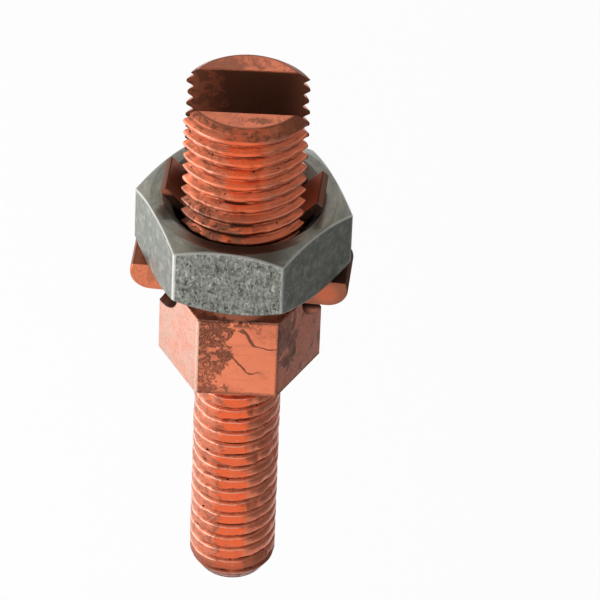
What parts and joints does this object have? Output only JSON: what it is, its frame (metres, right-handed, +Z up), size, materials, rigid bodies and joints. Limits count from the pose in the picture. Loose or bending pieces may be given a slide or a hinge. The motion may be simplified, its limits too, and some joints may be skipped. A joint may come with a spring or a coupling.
{
  "type": "service post connector",
  "caption": "Split threaded copper post on a hex collar and mounting stud, with a hex nut that drives a captive pressure bar down its slot to clamp a conductor.",
  "frame": {"origin": "centre of the collar's underside, where the stud meets the face that seats on the panel", "axes": "+Z up the post, from the stud to the legs' tops; X along the conductor slot"},
  "size_m": [0.02, 0.0182, 0.0549],
  "materials": {
    "post_copper": "bare turned copper, satin, with brown tarnish",
    "nut_plating": "matt grey plating, worn bright at the corners",
    "bar_copper": "bare pressed copper, browned"
  },
  "bodies": {
    "post": {"post_body": "post_copper"},
    "bar": {"pressure_bar": "bar_copper"},
    "nut": {"clamping_nut": "nut_plating"}
  },
  "joints": [
    {"name": "bar_lift", "type": "slide", "parent": "post", "child": "bar", "axis": [0, 0, 1], "range_m": [0, 0.01715]},
    {"name": "nut_turn", "type": "hinge", "parent": "bar", "child": "nut", "pos_m": [0, 0, 0.01465], "axis": [0, 0, 1], "range_deg": [0, 4860]}
  ],
  "couplings": [
    {"joint": "bar_lift", "follows": "nut_turn", "m_per_rad": 0.00020213}
  ]
}
